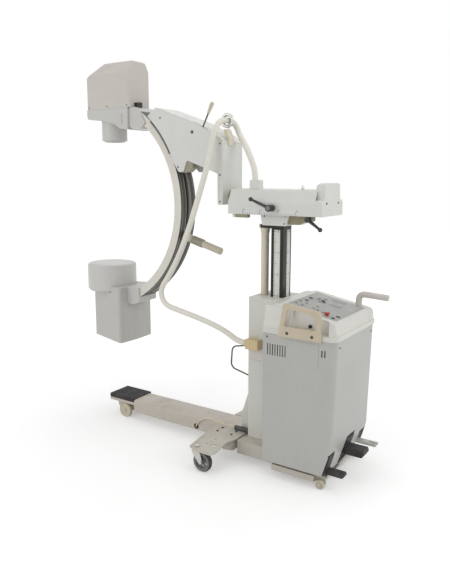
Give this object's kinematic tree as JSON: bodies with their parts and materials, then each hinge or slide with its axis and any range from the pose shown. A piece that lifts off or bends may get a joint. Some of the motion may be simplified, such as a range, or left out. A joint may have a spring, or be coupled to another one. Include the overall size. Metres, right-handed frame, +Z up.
{
  "type": "mobile C-arm x-ray stand",
  "caption": "Mobile x-ray stand: a C with tube head and image tank on a roller carriage, a sliding arm on a lifting column, and a wheeled base with cabinet and long leg.",
  "frame": {"origin": "on the floor, under the middle of the stand's bounding box", "axes": "+Z up, -X towards the C and the long leg, +X towards the operator's handles, -Y towards the side with the loop handle"},
  "size_m": [1.86, 0.83, 2.139],
  "materials": {
    "frame_paint": "satin cream enamel",
    "cast_paint": "satin cream paint on cast aluminium",
    "track_paint": "satin cream paint, worn pinkish",
    "sheet_paint": "satin beige paint on sheet",
    "lid_plastic": "aged cream moulding",
    "panel_film": "grey keypad film",
    "pad_rubber": "matt black rubber",
    "wheel_plastic": "cream moulded wheel",
    "caster_rubber": "grey rubber on a metal centre",
    "dark_steel": "dark enamel",
    "mast_black": "black anodised",
    "scale_white": "white ruled strip",
    "tube_cream": "satin cream enamel",
    "red_plastic": "glossy red",
    "key_metal": "polished",
    "tan_handle": "aged tan coating",
    "black_plastic": "satin black",
    "olive_cast": "khaki grey casting",
    "hose_cream": "aged cream ribless sheath",
    "cable_cream": "cream sheath",
    "taupe_cover": "satin taupe moulding",
    "grey_housing": "pale grey enamel",
    "yellowed_plastic": "yellowed moulding",
    "drum_plastic": "pale cream moulding",
    "bright_steel": "ground steel",
    "grip_beige": "beige grip",
    "machine_grey": "unpainted case"
  },
  "bodies": {
    "base": {"leg_beam": "frame_paint", "leg_pad": "pad_rubber", "chassis": "frame_paint", "side_rails": "olive_cast", "outriggers": "frame_paint", "cabinet_shell": "sheet_paint", "cabinet_lid": "lid_plastic", "control_panel": "panel_film", "push_handle_near": "tan_handle", "push_handle_far": "tube_cream", "column_cover": "sheet_paint", "mast_sleeve": "machine_grey", "lift_actuator": "bright_steel", "generator": "machine_grey", "rear_trim": "bright_steel", "cable_hook": "dark_steel", "cable_entries": "yellowed_plastic", "leg_cable": "cable_cream", "hose_drop": "hose_cream"},
    "column": {"mast": "mast_black", "mast_scales": "scale_white", "guide_tube": "tube_cream", "mast_cap": "dark_steel"},
    "swivel": {"swivel_head": "olive_cast"},
    "arm": {"arm_housing": "cast_paint", "arm_fittings": "yellowed_plastic", "hose_loop": "hose_cream"},
    "carriage": {"carriage_plates": "cast_paint", "carriage_roof": "cast_paint", "carriage_rear": "cast_paint", "roller_truck": "bright_steel", "brake_mount": "olive_cast", "cable_ring": "yellowed_plastic"},
    "c_unit": {"c_arm": "track_paint", "c_end_cover": "cast_paint", "tube_housing": "grey_housing", "head_cover": "taupe_cover", "snout": "grey_housing", "image_tank": "cast_paint", "drum": "drum_plastic", "tank_bracket": "cast_paint", "orbit_handle": "grip_beige"},
    "track_roller_low": {"track_roller_low": "bright_steel"},
    "track_roller_high": {"track_roller_high": "bright_steel"},
    "brake_lever": {"brake_lever": "grip_beige"},
    "slide_lever": {"slide_lever": "black_plastic"},
    "swivel_lever": {"swivel_lever": "black_plastic"},
    "pedal_near": {"pedal_near": "black_plastic"},
    "pedal_far": {"pedal_far": "black_plastic"},
    "emergency_button": {"emergency_button": "red_plastic"},
    "key_switch": {"key_switch": "key_metal"},
    "caster_fork_near": {"caster_fork_near": "dark_steel"},
    "caster_fork_far": {"caster_fork_far": "dark_steel"},
    "caster_wheel_near": {"caster_wheel_near": "caster_rubber"},
    "caster_wheel_far": {"caster_wheel_far": "caster_rubber"},
    "front_wheel_near": {"front_wheel_near": "wheel_plastic"},
    "front_wheel_far": {"front_wheel_far": "wheel_plastic"},
    "rear_wheel_near": {"rear_wheel_near": "caster_rubber"},
    "rear_wheel_far": {"rear_wheel_far": "caster_rubber"}
  },
  "joints": [
    {"name": "column_lift", "type": "slide", "parent": "base", "child": "column", "axis": [0, 0, 1], "range_m": [-0.28, 0.12], "deforming": ["hose_drop"]},
    {"name": "arm_swivel", "type": "hinge", "parent": "column", "child": "swivel", "pos_m": [0.4205, 0, 1.24], "axis": [0, 0, 1], "range_deg": [-12, 12]},
    {"name": "arm_slide", "type": "slide", "parent": "swivel", "child": "arm", "axis": [1, 0, 0], "range_m": [-0.1, 0.1]},
    {"name": "c_rotation", "type": "hinge", "parent": "arm", "child": "carriage", "pos_m": [0.1465, 0, 1.388], "axis": [1, 0, 0], "range_deg": [-180, 180]},
    {"name": "c_orbit", "type": "hinge", "parent": "carriage", "child": "c_unit", "pos_m": [-0.8005, 0, 1.329], "axis": [0, 1, 0], "range_deg": [-38, 4]},
    {"name": "roller_low_spin", "type": "hinge", "parent": "carriage", "child": "track_roller_low", "pos_m": [-0.28534, 0, 1.63854], "axis": [0, 1, 0], "range_deg": [-1500, 160]},
    {"name": "roller_high_spin", "type": "hinge", "parent": "carriage", "child": "track_roller_high", "pos_m": [-0.36096, 0, 1.73888], "axis": [0, 1, 0], "range_deg": [-1500, 160]},
    {"name": "orbit_brake", "type": "hinge", "parent": "carriage", "child": "brake_lever", "pos_m": [-0.0275, -0.072, 1.735], "axis": [0, 1, 0], "range_deg": [-20, 20]},
    {"name": "slide_clamp", "type": "hinge", "parent": "arm", "child": "slide_lever", "pos_m": [0.4315, -0.141, 1.34], "axis": [0, 1, 0], "range_deg": [-15, 30]},
    {"name": "swivel_clamp", "type": "hinge", "parent": "swivel", "child": "swivel_lever", "pos_m": [0.6065, -0.078, 1.286], "axis": [0, 1, 0], "range_deg": [-15, 30]},
    {"name": "brake_pedal", "type": "hinge", "parent": "base", "child": "pedal_near", "pos_m": [0.7585, -0.172, 0.096], "axis": [0, 1, 0], "range_deg": [0, 10]},
    {"name": "steer_pedal", "type": "hinge", "parent": "base", "child": "pedal_far", "pos_m": [0.7585, 0.01, 0.096], "axis": [0, 1, 0], "range_deg": [-6, 12]},
    {"name": "button_press", "type": "slide", "parent": "base", "child": "emergency_button", "axis": [0, 0, 1], "range_m": [-0.004, 0], "stiffness_N_per_m": 500, "springref_m": 0.003},
    {"name": "key_turn", "type": "hinge", "parent": "base", "child": "key_switch", "pos_m": [0.6985, -0.206, 0.798], "axis": [0, 1, 0], "range_deg": [0, 90]},
    {"name": "caster_swivel_near", "type": "hinge", "parent": "base", "child": "caster_fork_near", "pos_m": [0.1605, -0.385, 0.115], "axis": [0, 0, 1], "continuous": true},
    {"name": "caster_roll_near", "type": "hinge", "parent": "caster_fork_near", "child": "caster_wheel_near", "pos_m": [0.1935, -0.385, 0.054], "axis": [0, 1, 0], "continuous": true},
    {"name": "front_roll_near", "type": "hinge", "parent": "base", "child": "front_wheel_near", "pos_m": [-0.6365, -0.063, 0.045], "axis": [0, 1, 0], "continuous": true},
    {"name": "rear_roll_near", "type": "hinge", "parent": "base", "child": "rear_wheel_near", "pos_m": [0.7725, -0.218, 0.024], "axis": [0, 1, 0], "continuous": true},
    {"name": "caster_swivel_far", "type": "hinge", "parent": "base", "child": "caster_fork_far", "pos_m": [0.1605, 0.385, 0.115], "axis": [0, 0, 1], "continuous": true},
    {"name": "caster_roll_far", "type": "hinge", "parent": "caster_fork_far", "child": "caster_wheel_far", "pos_m": [0.1935, 0.385, 0.054], "axis": [0, 1, 0], "continuous": true},
    {"name": "front_roll_far", "type": "hinge", "parent": "base", "child": "front_wheel_far", "pos_m": [-0.6365, 0.063, 0.045], "axis": [0, 1, 0], "continuous": true},
    {"name": "rear_roll_far", "type": "hinge", "parent": "base", "child": "rear_wheel_far", "pos_m": [0.7725, 0.218, 0.024], "axis": [0, 1, 0], "continuous": true}
  ],
  "couplings": [
    {"joint": "roller_low_spin", "follows": "c_orbit", "ratio": 39.3},
    {"joint": "roller_high_spin", "follows": "c_orbit", "ratio": 39.3}
  ]
}
